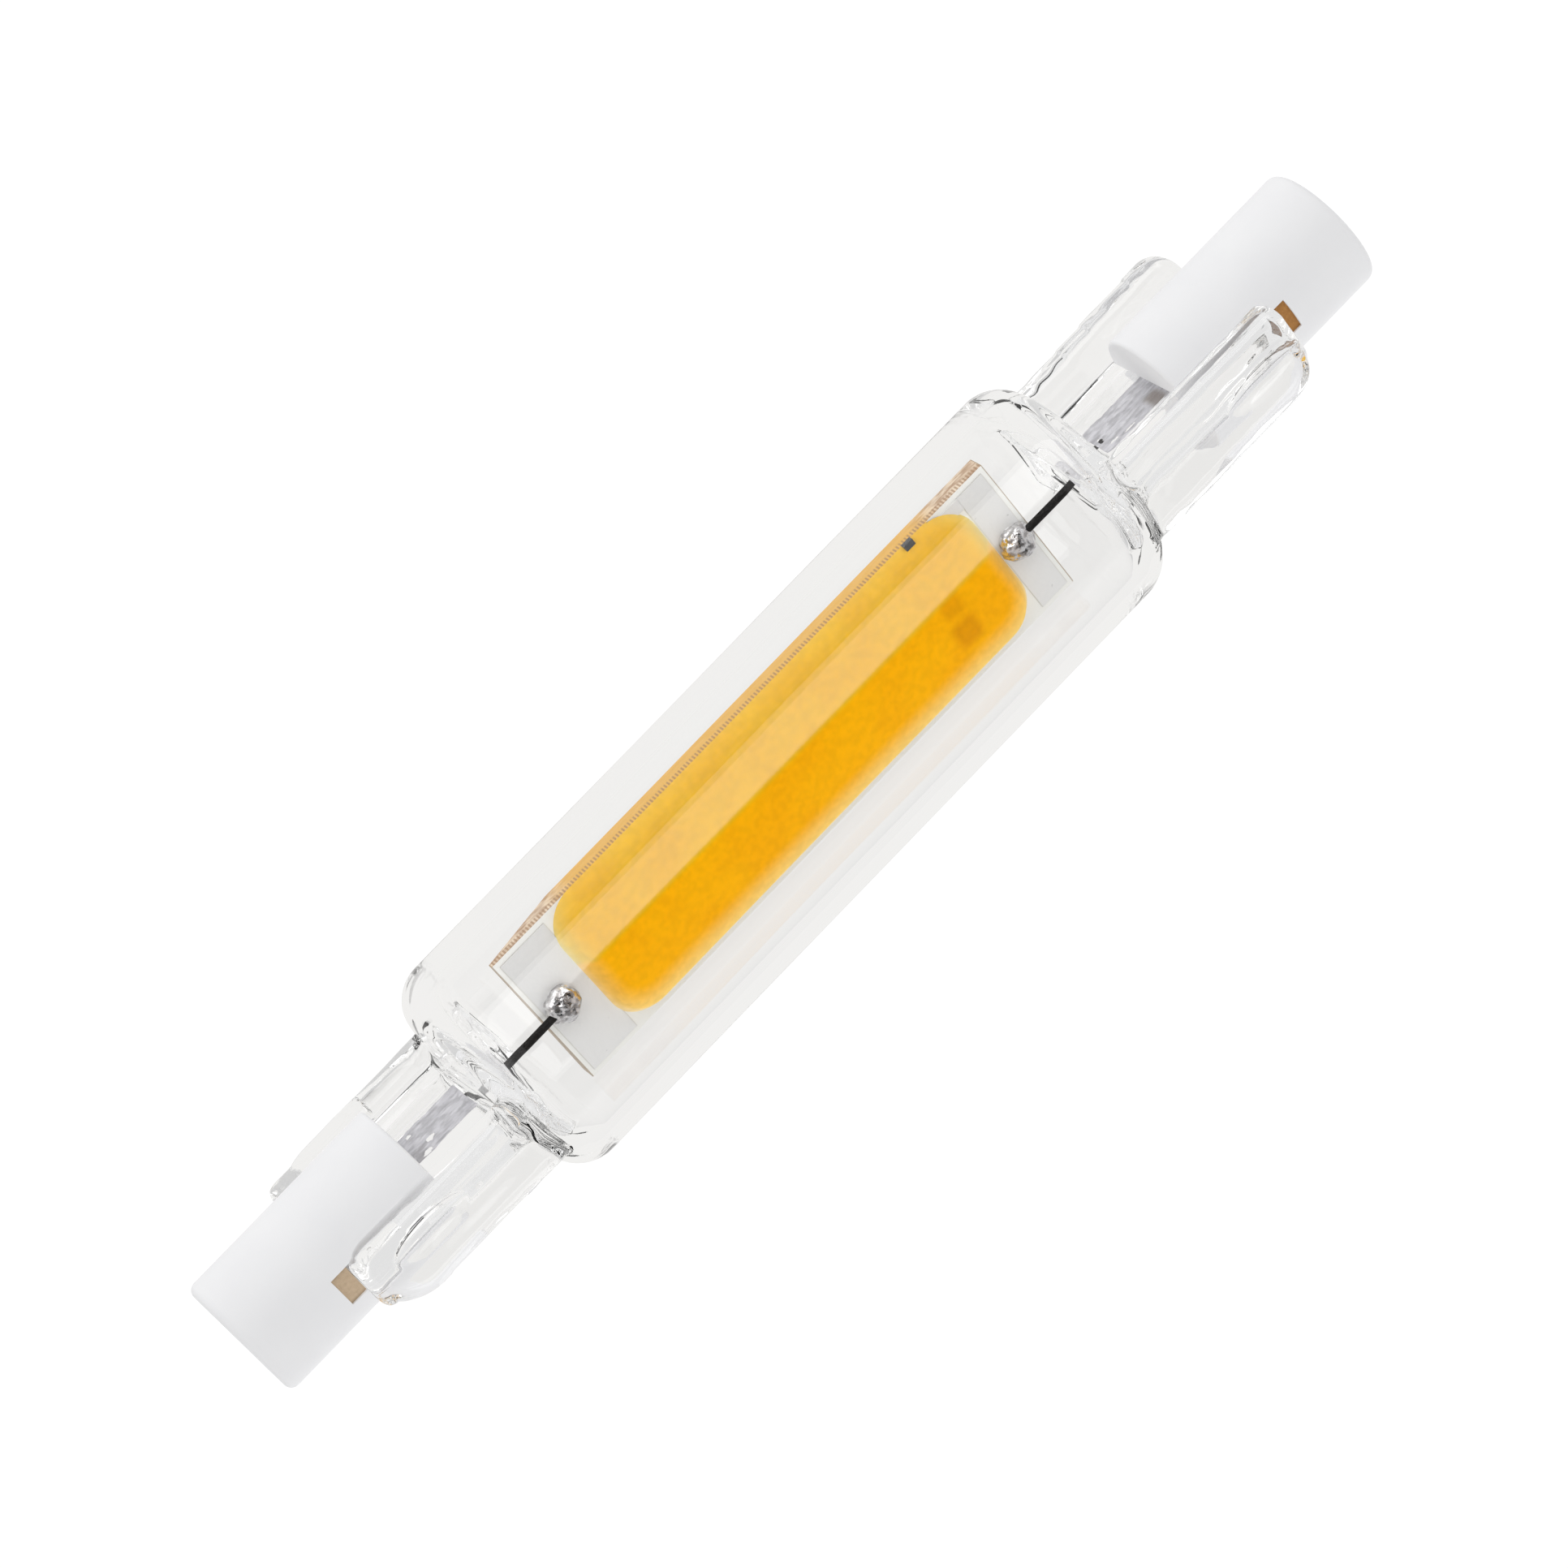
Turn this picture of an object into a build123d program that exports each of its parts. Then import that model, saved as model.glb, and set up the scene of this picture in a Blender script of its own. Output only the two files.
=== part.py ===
from build123d import *
import os

# Double-ended linear LED bulb: a glass tube pinched shut at both ends, a ceramic board with a
# phosphor strip hung inside on two leads, and a slotted ceramic cap cemented over each pinch.
# Millimetres. X runs along the bulb, Z is the way the lit face looks, and the pinches stand in
# the XZ plane. The origin is the middle of the bulb, on the axis of the tube.

# Ends
BULB_LENGTH = 78.0
RECESS_DEPTH = 1.55

# Glass tube
TUBE_DIAMETER = 13.2
TUBE_WALL = 1.0
TUBE_LENGTH = 43.6
SHOULDER_RADIUS = 2.3
END_WALL = 1.3

# Pinch: a flat web with a thick rail along each side
PINCH_ROOT_ROUND = 0.5
WEB_THICKNESS = 1.7
RAIL_THICKNESS_LEFT = 4.6
RAIL_THICKNESS_RIGHT = 5.4
RAIL_WIDTH = 1.85
RAIL_ROUND = 0.85
RAIL_END_CORNER = 1.4
RAIL_ROOT_ROUND = 0.35
RAIL_CAP_GAP = 0.1
THROAT_WIDTH = 6.4
THROAT_OPENING = 3.6
THROAT_SLIT = 0.5
THROAT_ROUND = 1.5
THROAT_REACH = 0.4
DIMPLE_LENGTH = 5.2
DIMPLE_SECTION_RADIUS = 2.2
DIMPLE_DEPTH = 0.45
DIMPLE_FROM_END_LEFT = 4.2
DIMPLE_FROM_END_RIGHT = 3.4

# Ceramic cap
CAP_DIAMETER = 7.14
CAP_LENGTH = 12.2
CAP_RIM_ROUND = 0.5
CAP_MOUTH_ROUND = 0.2
SLOT_DEPTH = 7.1
SLOT_CLEARANCE = 0.1
RECESS_DIAMETER = 3.8
RECESS_MOUTH_CHAMFER = 0.3
CAP_BORE_DIAMETER = 1.3

# Cement
CEMENT_THICKNESS = 1.0
CEMENT_SETBACK = 0.12

# Contact button, sunk in a pocket of its own at the bottom of the recess
CONTACT_DIAMETER = 3.4
CONTACT_THICKNESS = 0.5
CONTACT_SIDE_CLEARANCE = 0.05
CONTACT_EDGE_ROUND = 0.12
STEM_LENGTH = 0.9
STEM_DIAMETER = 1.0

# Leads and foil
LEAD_DIAMETER = 0.57
FOIL_WIDTH = 2.6
FOIL_THICKNESS = 0.05
FOIL_INNER_SETBACK = 0.3
FOIL_OUTER_SETBACK = 3.4
WELD_OVERLAP = 1.1
WELD_FLAT = 0.04

# Board
BOARD_LENGTH = 34.7
BOARD_WIDTH = 9.2
BOARD_THICKNESS = 1.0
PAD_THICKNESS = 0.05
PAD_MARGIN = 0.25
PAD_LENGTH_LEFT = 3.0
PAD_LENGTH_RIGHT = 1.75
TRACK_WIDTH = 0.7
TRACK_LENGTH = 3.3

# Solder
SOLDER_BED = 0.15
SOLDER_RADIUS = 0.9
SOLDER_HEIGHT = 0.85
SOLDER_FROM_BOARD_END = 1.25
LEAD_ON_BOARD = 1.5

# Phosphor strip
PHOSPHOR_CREST = 1.15
PHOSPHOR_SHOULDER = 0.55
PHOSPHOR_END_MARGIN_LEFT = 3.05
PHOSPHOR_END_MARGIN_RIGHT = 2.05
PHOSPHOR_SIDE_MARGIN = 0.2
PHOSPHOR_CORNER = 2.2
PHOSPHOR_FLANK_ANGLE = 35.0
PHOSPHOR_RIM_ROUND = 0.6

# Chips under the phosphor
LED_LENGTH = 0.7
LED_WIDTH = 0.35
LED_HEIGHT = 0.18
LED_SPACING = 1.15
LED_ROW_SPACING = 1.9
LED_ROWS = 3
LED_END_MARGIN = 0.8
DRIVER_LENGTH = 0.9
DRIVER_WIDTH = 1.1
DRIVER_HEIGHT = 0.3
DRIVER_FROM_BOARD_END = 5.95
DRIVER_Y = -1.3
RECTIFIER_SIZE = 0.7
RECTIFIER_HEIGHT = 0.25
RECTIFIER_FROM_BOARD_END = 5.85
RECTIFIER_Y = 0.35
RESISTOR_LENGTH = 0.6
RESISTOR_WIDTH = 0.4
RESISTOR_HEIGHT = 0.3
RESISTOR_TRACK_OVERLAP = 0.25

# Stations along the axis, from the ends inwards
HALF_LENGTH = BULB_LENGTH / 2
CONTACT_FACE_X = HALF_LENGTH - RECESS_DEPTH
CONTACT_BACK_X = CONTACT_FACE_X - CONTACT_THICKNESS
STEM_END_X = CONTACT_BACK_X - STEM_LENGTH
CAP_MOUTH_X = HALF_LENGTH - CAP_LENGTH
SLOT_FLOOR_X = CAP_MOUTH_X + SLOT_DEPTH
PINCH_END_X = SLOT_FLOOR_X - CEMENT_THICKNESS
TUBE_END_X = TUBE_LENGTH / 2
CAVITY_END_X = TUBE_END_X - END_WALL
THROAT_END_X = TUBE_END_X + THROAT_REACH
FOIL_START_X = THROAT_END_X + FOIL_INNER_SETBACK
FOIL_END_X = PINCH_END_X - FOIL_OUTER_SETBACK
BOARD_END_X = BOARD_LENGTH / 2
PHOSPHOR_START_X = -BOARD_END_X + PHOSPHOR_END_MARGIN_LEFT
PHOSPHOR_END_X = BOARD_END_X - PHOSPHOR_END_MARGIN_RIGHT
DRIVER_X = BOARD_END_X - DRIVER_FROM_BOARD_END
RECTIFIER_X = BOARD_END_X - RECTIFIER_FROM_BOARD_END
LED_FIRST_X = PHOSPHOR_START_X + LED_END_MARGIN + LED_LENGTH / 2
LED_LAST_X = DRIVER_X - DRIVER_LENGTH / 2 - LED_END_MARGIN - LED_LENGTH / 2
LED_COUNT = int((LED_LAST_X - LED_FIRST_X) / LED_SPACING) + 1

# Radii and heights
TUBE_RADIUS = TUBE_DIAMETER / 2
CAVITY_RADIUS = TUBE_RADIUS - TUBE_WALL
CAP_RADIUS = CAP_DIAMETER / 2
LEAD_RADIUS = LEAD_DIAMETER / 2
SLOT_WIDTH = WEB_THICKNESS + 2 * SLOT_CLEARANCE
RAIL_INNER_Z = CAP_RADIUS + RAIL_CAP_GAP
PINCH_HALF_WIDTH = RAIL_INNER_Z + RAIL_WIDTH
PAD_TOP_Z = -LEAD_RADIUS - SOLDER_BED
BOARD_TOP_Z = PAD_TOP_Z - PAD_THICKNESS
FOIL_NEAR_Y = LEAD_RADIUS - WELD_FLAT
ENDS = {"left": -1, "right": 1}


def along_x(sketch, start, end):
    """A flat shape drawn in Y and Z, pushed along X from start to end."""
    return Pos(start, 0, 0) * extrude(Plane.YZ * sketch, end - start)


def bar(length, width, height, x, y, z):
    """A block whose underside is centred on x, y, z."""
    return Pos(x, y, z) * Box(length, width, height, align=(Align.CENTER, Align.CENTER, Align.MIN))


def rod(radius, start, end):
    """A round rod on the axis of the bulb."""
    return along_x(Circle(radius), start, end)


def at_end(shape, side):
    """A shape drawn for the right end, turned half round Z for the left one."""
    return shape if side > 0 else Rot(0, 0, 180) * shape


# Glass

def rounded_drum(radius, half_length, edge_round):
    """A closed drum along X with both rims rounded."""
    drum = rod(radius, -half_length, half_length)
    return fillet(drum.edges().filter_by(GeomType.CIRCLE), edge_round)


def rail(thickness):
    """The upper rail of a pinch, round along its edges and at its outer end."""
    length = PINCH_END_X - CAVITY_END_X
    plan = Pos(length / 2, 0) * Rectangle(length, thickness)
    plan = fillet(plan.vertices().group_by(Axis.X)[-1], RAIL_END_CORNER)
    solid = extrude(plan, RAIL_WIDTH)
    rims = solid.edges().filter_by(Axis.Z, reverse=True).filter_by(lambda e: e.center().X > 0.01)
    return Pos(CAVITY_END_X, 0, RAIL_INNER_Z) * fillet(rims, RAIL_ROUND)


def web():
    """The flat web between the rails, flared where it runs into them."""
    flat = Rectangle(WEB_THICKNESS, 2 * RAIL_INNER_Z + RAIL_WIDTH)
    rail_z = RAIL_INNER_Z + RAIL_WIDTH / 2
    stub = Rectangle(WEB_THICKNESS + 4 * RAIL_ROOT_ROUND, RAIL_WIDTH)
    flared = flat + Pos(0, rail_z) * stub + Pos(0, -rail_z) * stub
    roots = [v for v in flared.vertices() if abs(abs(v.X) - WEB_THICKNESS / 2) < 1e-4]
    flared = fillet(roots, RAIL_ROOT_ROUND) & Rectangle(2 * RAIL_WIDTH, 2 * RAIL_INNER_Z)
    body = along_x(flat, CAVITY_END_X, PINCH_END_X)
    return body + along_x(flared, CAVITY_END_X, PINCH_END_X - RAIL_ROUND)


def rail_dimple(from_end):
    """A spindle that presses a leaf-shaped hollow into the outer face of the upper rail."""
    half = DIMPLE_LENGTH / 2
    ends_z = DIMPLE_DEPTH - DIMPLE_SECTION_RADIUS
    outline = Polyline((half, ends_z), (half, 0), (-half, 0), (-half, ends_z))
    outline += ThreePointArc((-half, ends_z), (0, -DIMPLE_SECTION_RADIUS), (half, ends_z))
    spindle = revolve(make_face(outline), Axis.X)
    centre_x = PINCH_END_X - from_end
    centre_z = PINCH_HALF_WIDTH - DIMPLE_DEPTH + DIMPLE_SECTION_RADIUS
    return Pos(centre_x, 0, centre_z) * spindle


def pinch(side):
    """One pinch, from inside the end wall of the tube out to where the cement begins."""
    if side > 0:
        upper = rail(RAIL_THICKNESS_RIGHT) - rail_dimple(DIMPLE_FROM_END_RIGHT)
    else:
        upper = rail(RAIL_THICKNESS_LEFT) - rail_dimple(DIMPLE_FROM_END_LEFT)
    return at_end(web() + upper + Rot(180, 0, 0) * upper, side)


def throat():
    """The end of the cavity, where the walls close in to a slit at the root of the web."""
    mouth = RectangleRounded(THROAT_OPENING, THROAT_WIDTH, THROAT_ROUND)
    slit = RectangleRounded(THROAT_SLIT, THROAT_WIDTH - THROAT_OPENING / 2, THROAT_SLIT / 3)
    near = Plane((CAVITY_END_X - END_WALL, 0, 0), (0, 1, 0), (1, 0, 0))
    far = Plane((THROAT_END_X, 0, 0), (0, 1, 0), (1, 0, 0))
    return loft([near * mouth, far * slit])


def glass_envelope():
    """The tube and both pinches, fused in one piece, with the leads and foils sealed into it."""
    drum = rounded_drum(TUBE_RADIUS, TUBE_END_X, SHOULDER_RADIUS)
    pinches = [pinch(side) for side in ENDS.values()]
    glass = drum + pinches
    glass = fillet(new_edges(drum, *pinches, combined=glass), PINCH_ROOT_ROUND)
    glass -= rounded_drum(CAVITY_RADIUS, CAVITY_END_X, SHOULDER_RADIUS - TUBE_WALL / 2)
    for side in ENDS.values():
        glass -= at_end(throat(), side)
        for metal in (foil(side), inner_lead(side), outer_lead(side)):
            glass -= metal
    return glass


# Leads and foils

def foil(side):
    """The thin metal strip that carries the current through the web, on the +Y side of the wires."""
    section = Pos(side * (FOIL_NEAR_Y + FOIL_THICKNESS / 2), 0) * Rectangle(FOIL_THICKNESS, FOIL_WIDTH)
    return at_end(along_x(section, FOIL_START_X, FOIL_END_X), side)


def flattened(wire, side):
    """A wire for the right end, with a flat on it where the foil is welded."""
    reach = 2 * LEAD_DIAMETER
    beside = Pos(side * (FOIL_NEAR_Y + reach / 2), 0) * Rectangle(reach, reach)
    return wire - along_x(beside, FOIL_START_X, FOIL_END_X)


def inner_lead(side):
    """The wire from the solder on the board to the inner end of the foil."""
    wire = rod(LEAD_RADIUS, BOARD_END_X - LEAD_ON_BOARD, FOIL_START_X + WELD_OVERLAP)
    return at_end(flattened(wire, side), side)


def outer_lead(side):
    """The wire from the outer end of the foil to the stem of the contact button."""
    wire = rod(LEAD_RADIUS, FOIL_END_X - WELD_OVERLAP, STEM_END_X)
    return at_end(flattened(wire, side), side)


# Caps

def ceramic_cap(side):
    """A ceramic sleeve, slotted to straddle the web, with the contact recess in its outer end."""
    cap = rod(CAP_RADIUS, CAP_MOUTH_X, HALF_LENGTH)
    rims = cap.edges().filter_by(GeomType.CIRCLE).sort_by(Axis.X)
    cap = fillet(rims[-1], CAP_RIM_ROUND)
    cap = fillet(cap.edges().filter_by(GeomType.CIRCLE).sort_by(Axis.X)[0], CAP_MOUTH_ROUND)
    cap -= rod(RECESS_DIAMETER / 2, CONTACT_FACE_X, HALF_LENGTH)
    mouth = cap.edges().filter_by(GeomType.CIRCLE).group_by(Axis.X)[-1].sort_by(SortBy.RADIUS)[0]
    cap = chamfer(mouth, RECESS_MOUTH_CHAMFER)
    pocket_radius = CONTACT_DIAMETER / 2 + CONTACT_SIDE_CLEARANCE
    cap -= rod(pocket_radius, CONTACT_BACK_X, CONTACT_FACE_X)
    cap -= rod(CAP_BORE_DIAMETER / 2, SLOT_FLOOR_X, CONTACT_BACK_X)
    cap -= along_x(Rectangle(SLOT_WIDTH, 2 * CAP_DIAMETER), CAP_MOUTH_X, SLOT_FLOOR_X)
    return at_end(cap, side)


def cement(side):
    """The plug of cement between the end of the web and the floor of the slot."""
    section = Circle(CAP_RADIUS - CEMENT_SETBACK) & Rectangle(SLOT_WIDTH, CAP_DIAMETER)
    return at_end(along_x(section - Circle(LEAD_RADIUS), PINCH_END_X, SLOT_FLOOR_X), side)


def contact_button(side):
    """The metal button at the bottom of the recess, on a stem that meets the outer lead."""
    disc = rod(CONTACT_DIAMETER / 2, CONTACT_BACK_X, CONTACT_FACE_X)
    disc = fillet(disc.edges().filter_by(GeomType.CIRCLE).sort_by(Axis.X)[-1], CONTACT_EDGE_ROUND)
    return at_end(disc + rod(STEM_DIAMETER / 2, STEM_END_X, CONTACT_BACK_X), side)


# Board

def ceramic_board():
    """The white ceramic plate that carries the chips."""
    return bar(BOARD_LENGTH, BOARD_WIDTH, BOARD_THICKNESS, 0, 0, BOARD_TOP_Z - BOARD_THICKNESS)


def solder_pad(side):
    """The printed metal pad at one end. The right one has a track that runs on to the resistor."""
    length = PAD_LENGTH_RIGHT if side > 0 else PAD_LENGTH_LEFT
    outer_x = BOARD_END_X - PAD_MARGIN
    width = BOARD_WIDTH - 2 * PAD_MARGIN
    pad = bar(length, width, PAD_THICKNESS, side * (outer_x - length / 2), 0, BOARD_TOP_Z)
    if side > 0:
        track_x = outer_x - length - TRACK_LENGTH / 2
        track_y = (width - TRACK_WIDTH) / 2
        pad += bar(TRACK_LENGTH, TRACK_WIDTH, PAD_THICKNESS, track_x, track_y, BOARD_TOP_Z)
    return pad


def solder_joint(side):
    """A dome of solder that holds the end of the lead on its pad."""
    ball_radius = (SOLDER_RADIUS ** 2 + SOLDER_HEIGHT ** 2) / (2 * SOLDER_HEIGHT)
    ball = Pos(0, 0, PAD_TOP_Z + SOLDER_HEIGHT - ball_radius) * Sphere(ball_radius)
    above_pad = bar(4 * ball_radius, 4 * ball_radius, 2 * ball_radius, 0, 0, PAD_TOP_Z)
    dome = Pos(BOARD_END_X - SOLDER_FROM_BOARD_END, 0, 0) * (ball & above_pad)
    return at_end(dome, side) - inner_lead(side)


# Chips and phosphor

def led_chips():
    """Rows of bare light-emitting chips, each a separate solid on the board."""
    chips = []
    for row in range(LED_ROWS):
        y = (row - (LED_ROWS - 1) / 2) * LED_ROW_SPACING
        for place in range(LED_COUNT):
            x = LED_FIRST_X + place * LED_SPACING
            chips.append(bar(LED_LENGTH, LED_WIDTH, LED_HEIGHT, x, y, BOARD_TOP_Z))
    return Compound(children=chips)


def driver_chip():
    """The bare driver chip, near the right end under the phosphor."""
    return bar(DRIVER_LENGTH, DRIVER_WIDTH, DRIVER_HEIGHT, DRIVER_X, DRIVER_Y, BOARD_TOP_Z)


def rectifier_chip():
    """The bare rectifier chip beside the driver."""
    return bar(RECTIFIER_SIZE, RECTIFIER_SIZE, RECTIFIER_HEIGHT, RECTIFIER_X, RECTIFIER_Y, BOARD_TOP_Z)


def chip_resistor():
    """The small resistor at the end of the track, at the edge of the phosphor."""
    track_end_x = BOARD_END_X - PAD_MARGIN - PAD_LENGTH_RIGHT - TRACK_LENGTH
    x = track_end_x + RESISTOR_TRACK_OVERLAP - RESISTOR_LENGTH / 2
    y = BOARD_WIDTH / 2 - PAD_MARGIN - RESISTOR_WIDTH / 2
    return bar(RESISTOR_LENGTH, RESISTOR_WIDTH, RESISTOR_HEIGHT, x, y, PAD_TOP_Z)


def phosphor_strip():
    """The orange silicone cast over the chips: a low pillow, domed across the board."""
    length = PHOSPHOR_END_X - PHOSPHOR_START_X
    width = BOARD_WIDTH - 2 * PHOSPHOR_SIDE_MARGIN
    plan = RectangleRounded(length, width, PHOSPHOR_CORNER)
    pillow = extrude(plan, PHOSPHOR_CREST, taper=PHOSPHOR_FLANK_ANGLE)
    rise = PHOSPHOR_CREST - PHOSPHOR_SHOULDER
    dome_radius = (width ** 2 / 4 + rise ** 2) / (2 * rise)
    dome = Pos(0, 0, PHOSPHOR_CREST - dome_radius) * Rot(0, 90, 0) * Cylinder(dome_radius, 2 * length)
    pillow &= dome
    crown = pillow.faces().filter_by(lambda f: f.center().Z > PHOSPHOR_SHOULDER).sort_by(SortBy.AREA)[-1]
    pillow = fillet(crown.edges(), PHOSPHOR_RIM_ROUND)
    pillow = Pos((PHOSPHOR_START_X + PHOSPHOR_END_X) / 2, 0, BOARD_TOP_Z) * pillow
    buried = led_chips().solids()
    buried += [driver_chip(), rectifier_chip(), chip_resistor(), solder_pad(-1), solder_pad(1)]
    buried += [solder_joint(-1), solder_joint(1)]
    for piece in buried:
        pillow -= piece
    return pillow


nodes = {
    "glass_envelope": glass_envelope(),
    "ceramic_board": ceramic_board(),
    "phosphor_strip": phosphor_strip(),
    "led_chips": led_chips(),
    "driver_chip": driver_chip(),
    "rectifier_chip": rectifier_chip(),
    "chip_resistor": chip_resistor(),
}
for end, side in ENDS.items():
    nodes[f"ceramic_cap_{end}"] = ceramic_cap(side)
    nodes[f"cement_{end}"] = cement(side)
    nodes[f"contact_button_{end}"] = contact_button(side)
    nodes[f"outer_lead_{end}"] = outer_lead(side)
    nodes[f"foil_{end}"] = foil(side)
    nodes[f"inner_lead_{end}"] = inner_lead(side)
    nodes[f"solder_joint_{end}"] = solder_joint(side)
    nodes[f"solder_pad_{end}"] = solder_pad(side)

os.makedirs("parts", exist_ok=True)
for name, shape in nodes.items():
    export_step(shape, f"parts/{name}.step")
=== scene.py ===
import bpy
import bmesh
import math
from mathutils import Matrix, Vector, noise

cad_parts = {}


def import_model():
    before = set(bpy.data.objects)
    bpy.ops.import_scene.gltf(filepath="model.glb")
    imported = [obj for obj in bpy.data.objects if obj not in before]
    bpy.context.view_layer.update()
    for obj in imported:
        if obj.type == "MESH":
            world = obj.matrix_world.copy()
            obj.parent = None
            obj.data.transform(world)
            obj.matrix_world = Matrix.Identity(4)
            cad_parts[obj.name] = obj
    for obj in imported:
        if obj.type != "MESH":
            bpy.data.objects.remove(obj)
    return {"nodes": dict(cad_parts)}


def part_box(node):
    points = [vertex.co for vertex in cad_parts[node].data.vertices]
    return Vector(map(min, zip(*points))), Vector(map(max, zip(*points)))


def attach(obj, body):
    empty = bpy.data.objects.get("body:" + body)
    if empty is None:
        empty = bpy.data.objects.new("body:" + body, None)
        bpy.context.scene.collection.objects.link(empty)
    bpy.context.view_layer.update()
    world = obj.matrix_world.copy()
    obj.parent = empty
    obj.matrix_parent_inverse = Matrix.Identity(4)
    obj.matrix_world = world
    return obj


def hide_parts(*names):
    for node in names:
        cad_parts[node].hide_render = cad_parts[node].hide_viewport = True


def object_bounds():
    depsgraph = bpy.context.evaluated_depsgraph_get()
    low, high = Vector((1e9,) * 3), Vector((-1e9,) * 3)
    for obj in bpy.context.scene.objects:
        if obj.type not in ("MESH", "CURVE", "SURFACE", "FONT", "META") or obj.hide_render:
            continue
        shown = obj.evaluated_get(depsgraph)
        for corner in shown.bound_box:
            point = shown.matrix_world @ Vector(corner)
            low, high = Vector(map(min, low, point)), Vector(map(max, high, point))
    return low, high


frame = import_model()
CAD_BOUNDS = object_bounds()

# Double-ended LED bulb. Pieces are modelled in millimetres and brought to metres when they are
# finished. X runs along the bulb and Z is the way the lit face looks.
MM = 0.001

# Photograph: where the bulb lies in its frame, and how the camera stood
PHOTO_WIDTH = 1932
FOCAL_PIXELS = 7688
SENSOR_WIDTH = 36.0
CAMERA_DISTANCE = 0.310
CAMERA_LEAN = math.radians(7.2)
CAMERA_ROLL_ROUND_BULB = math.radians(35.0)
BULB_ANGLE_IN_FRAME = math.radians(45.86)
BULB_CENTRE_OFFSET = (7.5, 12.9)

# Glass. An end is -1 for the left one and 1 for the right one, and front is +Y. Where a size has a
# pair, it is for the rail above the cap and for the one below it. Each end of the tube is moved
# outwards by its shift and tilted across the camera's view. Some rails thicken in small steps.
GLASS_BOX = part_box("glass_envelope")
TUBE_RADIUS = GLASS_BOX[1][1] / MM
PINCH_END = GLASS_BOX[1][0] / MM
CAP_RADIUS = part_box("ceramic_cap_right")[1][2] / MM
TUBE_WALL = 1.0
TUBE_END = 21.8
END_SHIFT = {-1: 0.2, 1: -0.22}
END_TILT = {-1: -0.2, 1: -0.22}
LEAN_FROM = 12.0
LEAN_REACH = 8.0
LEAN_UNTIL = 22.5
LEAN_FADE = 2.0
SHOULDER_RADIUS = 2.3
SHOULDER_FOOT = 0.6
END_WALL_SLOPE = math.radians(82)
CAVITY_RADIUS = TUBE_RADIUS - TUBE_WALL
CAVITY_END = 20.7
CAVITY_ROUND = 1.8
THROAT_HALF = 1.0
THROAT_HALF_WIDTH = 2.9
THROAT_FOOT = 0.35
THROAT_END = 22.2
SLIT_HALF = 0.1
SLIT_HALF_WIDTH = 3.7
WEB_HALF = 0.85
RAIL_GAP = 0.1
RAIL_WIDTH = 1.85
RAIL_INNER = CAP_RADIUS + RAIL_GAP
RAIL_OUTER = RAIL_INNER + RAIL_WIDTH
RAIL_FRONT = {-1: (1.93, 1.81), 1: (2.45, 2.83)}
RAIL_BACK = {-1: 2.8, 1: 2.74}
RAIL_ROUND = 0.75
RAIL_ROOT = 0.3
RAIL_FRONT_CORNER = {-1: (1.4, 2.9), 1: (0.7, 1.6)}
RAIL_STEPS = {-1: (), 1: (25.1, 26.9, 30.1)}
RAIL_STEP = 0.07
RAIL_STEP_LENGTH = 0.2
RAIL_BACK_CORNER = {-1: 3.0, 1: 2.1}

# How finely the glass is divided: rings along the tube and the pinch, round a rail's end and down
# the throat, and steps round the tube's edge, down its end wall and out along its foot
TUBE_STATIONS = 40
PINCH_STATIONS = 90
CORNER_STATIONS = 24
THROAT_STATIONS = 16
EDGE_STEPS = 10
WALL_STEPS = 9
FOOT_STEPS = 8
RING_GAP = 0.02

# How far the hot glass moved: slow waves, long streaks, fine threads and lumps in the pinch, swirls
# at its root and the drift of drawn tube, how lumpy each end is, and where this starts and fades
WAVE = 0.05
STREAK = 0.08
THREAD = 0.012
LUMP = 0.025
SWIRL = 0.13
DRIFT = 0.02
LUMPINESS = {-1: 0.4, 1: 1.0}
PRESS_FADE = 1.2
SWIRL_MIDDLE = 0.5
SWIRL_SPREAD = 0.8
SWIRL_FADE = 0.6

# Board, pads and the notches that the scribe left along the board's top corner
BOARD_HALF_LENGTH = 17.45
BOARD_FRONT = 4.25
BOARD_BACK = -4.78
BOARD_THICKNESS = 1.1
BOARD_EDGE_ROUND = 0.03
BOARD_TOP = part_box("ceramic_board")[1][2] / MM
STRIP_FRONT = 4.26
STRIP_BACK = -4.42
PAD_SETBACK = 0.33
PAD_LENGTH = {-1: 3.0, 1: 1.75}
PAD_THICKNESS = 0.05
TRACK_LENGTH = 3.3
TRACK_WIDTH = 0.7
TRACK_OVERLAP = 0.01
NOTCH_PITCH = 0.2 * MM
NOTCH_DEPTH = 0.42 * MM
CHIPPED_FROM = -13.0
CHIP_HEIGHT = 0.75
CORNER_REACH = 0.5

# Leads, hammered flat where they are welded on
LEAD_RADIUS = 0.21
LEAD_BOW = 0.05
LEAD_STATIONS = 60
LEAD_SIDES = 24
WELD_START = 22.7
WELD_TAPER = 0.5
WELD_HALF = 0.32
WELD_HALF_THICKNESS = 0.09

# Solder: its lumps, each with a height and a fineness, and how far each joint lies from its packed
# place in X and Y
SOLDER_RADII = (0.98, 0.96, 0.72)
SOLDER_RISE = 0.2
SOLDER_FOOT = 0.005
SOLDER_LUMPS = ((0.13, 1.7), (0.06, 4.1), (0.022, 9.0))
SOLDER_SHIFT = {-1: (0.0, 0.0), 1: (0.29, -0.3)}

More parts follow.
